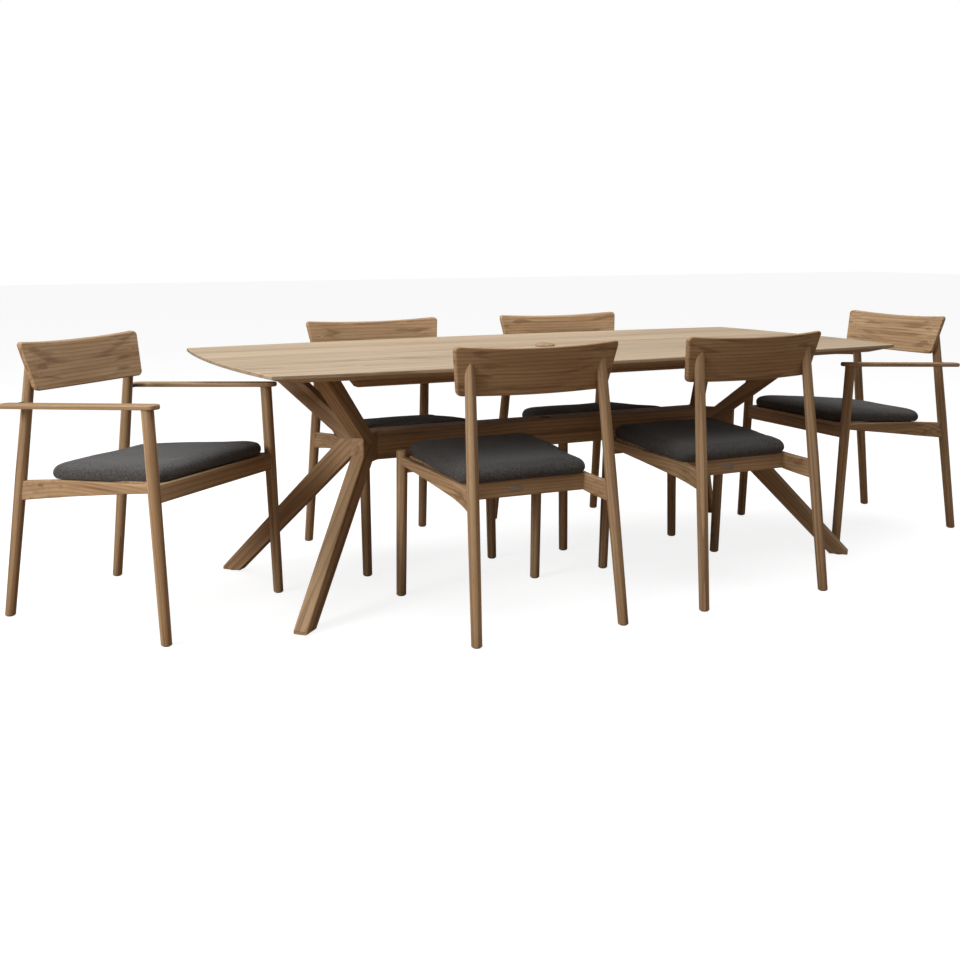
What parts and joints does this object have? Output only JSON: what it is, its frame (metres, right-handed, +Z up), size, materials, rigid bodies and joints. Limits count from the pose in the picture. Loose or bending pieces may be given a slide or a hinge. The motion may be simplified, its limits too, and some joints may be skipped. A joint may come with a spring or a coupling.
{
  "type": "patio dining set",
  "caption": "Wooden outdoor dining set: a long bow-sided table on bent trestle legs, with padded side chairs and armchairs that pull out.",
  "frame": {"origin": "on the floor, under the middle of the whole set's bounding box; the table's centre is at x 0.0254, y 0.0272", "axes": "+X along the table's length, from the armchair that is turned askew to the one that is square on; +Z up; +Y from the near pair of side chairs to the far pair"},
  "size_m": [3.446, 1.4334, 0.8198],
  "materials": {
    "teak_top": "matt, lengthwise planks",
    "teak_frame": "matt, sanded",
    "seat_fabric": "charcoal melange weave"
  },
  "bodies": {
    "table": {"table_top": "teak_top", "under_rail_near": "teak_frame", "under_rail_far": "teak_frame", "centre_tie": "teak_frame", "stretcher": "teak_frame", "upper_arm_left_near": "teak_frame", "lower_leg_left_near": "teak_frame", "upper_arm_left_far": "teak_frame", "lower_leg_left_far": "teak_frame", "upper_arm_right_near": "teak_frame", "lower_leg_right_near": "teak_frame", "upper_arm_right_far": "teak_frame", "lower_leg_right_far": "teak_frame"},
    "plug": {"parasol_plug": "teak_frame"},
    "armchair_left": {"armchair_left_seat_frame": "teak_frame", "armchair_left_backrest": "teak_frame", "armchair_left_rear_leg_left": "teak_frame", "armchair_left_front_leg_left": "teak_frame", "armchair_left_arm_left": "teak_frame", "armchair_left_rear_leg_right": "teak_frame", "armchair_left_front_leg_right": "teak_frame", "armchair_left_arm_right": "teak_frame"},
    "armchair_left_pad": {"armchair_left_seat_pad": "seat_fabric"},
    "armchair_right": {"armchair_right_seat_frame": "teak_frame", "armchair_right_backrest": "teak_frame", "armchair_right_rear_leg_left": "teak_frame", "armchair_right_front_leg_left": "teak_frame", "armchair_right_arm_left": "teak_frame", "armchair_right_rear_leg_right": "teak_frame", "armchair_right_front_leg_right": "teak_frame", "armchair_right_arm_right": "teak_frame"},
    "armchair_right_pad": {"armchair_right_seat_pad": "seat_fabric"},
    "chair_near_left": {"chair_near_left_seat_frame": "teak_frame", "chair_near_left_backrest": "teak_frame", "chair_near_left_rear_leg_left": "teak_frame", "chair_near_left_front_leg_left": "teak_frame", "chair_near_left_rear_leg_right": "teak_frame", "chair_near_left_front_leg_right": "teak_frame"},
    "chair_near_left_pad": {"chair_near_left_seat_pad": "seat_fabric"},
    "chair_near_right": {"chair_near_right_seat_frame": "teak_frame", "chair_near_right_backrest": "teak_frame", "chair_near_right_rear_leg_left": "teak_frame", "chair_near_right_front_leg_left": "teak_frame", "chair_near_right_rear_leg_right": "teak_frame", "chair_near_right_front_leg_right": "teak_frame"},
    "chair_near_right_pad": {"chair_near_right_seat_pad": "seat_fabric"},
    "chair_far_left": {"chair_far_left_seat_frame": "teak_frame", "chair_far_left_backrest": "teak_frame", "chair_far_left_rear_leg_left": "teak_frame", "chair_far_left_front_leg_left": "teak_frame", "chair_far_left_rear_leg_right": "teak_frame", "chair_far_left_front_leg_right": "teak_frame"},
    "chair_far_left_pad": {"chair_far_left_seat_pad": "seat_fabric"},
    "chair_far_right": {"chair_far_right_seat_frame": "teak_frame", "chair_far_right_backrest": "teak_frame", "chair_far_right_rear_leg_left": "teak_frame", "chair_far_right_front_leg_left": "teak_frame", "chair_far_right_rear_leg_right": "teak_frame", "chair_far_right_front_leg_right": "teak_frame"},
    "chair_far_right_pad": {"chair_far_right_seat_pad": "seat_fabric"}
  },
  "joints": [
    {"name": "plug_lift", "type": "slide", "parent": "table", "child": "plug", "axis": [0, 0, 1], "range_m": [0, 0.06]},
    {"name": "armchair_left_pull_out", "type": "slide", "parent": "table", "child": "armchair_left", "axis": [-0.6483, 0.7614, 0], "range_m": [0, 0.4]},
    {"name": "armchair_left_pad_lift", "type": "slide", "parent": "armchair_left", "child": "armchair_left_pad", "axis": [0, 0, 1], "range_m": [0, 0.1]},
    {"name": "armchair_right_pull_out", "type": "slide", "parent": "table", "child": "armchair_right", "axis": [0.9995, -0.0319, 0], "range_m": [0, 0.4]},
    {"name": "armchair_right_pad_lift", "type": "slide", "parent": "armchair_right", "child": "armchair_right_pad", "axis": [0, 0, 1], "range_m": [0, 0.1]},
    {"name": "chair_near_left_pull_out", "type": "slide", "parent": "table", "child": "chair_near_left", "axis": [-0.0174, -0.9998, 0], "range_m": [0, 0.4]},
    {"name": "chair_near_left_pad_lift", "type": "slide", "parent": "chair_near_left", "child": "chair_near_left_pad", "axis": [0, 0, 1], "range_m": [0, 0.1]},
    {"name": "chair_near_right_pull_out", "type": "slide", "parent": "table", "child": "chair_near_right", "axis": [0.0197, -0.9998, 0], "range_m": [0, 0.4]},
    {"name": "chair_near_right_pad_lift", "type": "slide", "parent": "chair_near_right", "child": "chair_near_right_pad", "axis": [0, 0, 1], "range_m": [0, 0.1]},
    {"name": "chair_far_left_pull_out", "type": "slide", "parent": "table", "child": "chair_far_left", "axis": [-0.0404, 0.9992, 0], "range_m": [0, 0.4]},
    {"name": "chair_far_left_pad_lift", "type": "slide", "parent": "chair_far_left", "child": "chair_far_left_pad", "axis": [0, 0, 1], "range_m": [0, 0.1]},
    {"name": "chair_far_right_pull_out", "type": "slide", "parent": "table", "child": "chair_far_right", "axis": [-0.0064, 1, 0], "range_m": [0, 0.4]},
    {"name": "chair_far_right_pad_lift", "type": "slide", "parent": "chair_far_right", "child": "chair_far_right_pad", "axis": [0, 0, 1], "range_m": [0, 0.1]}
  ]
}
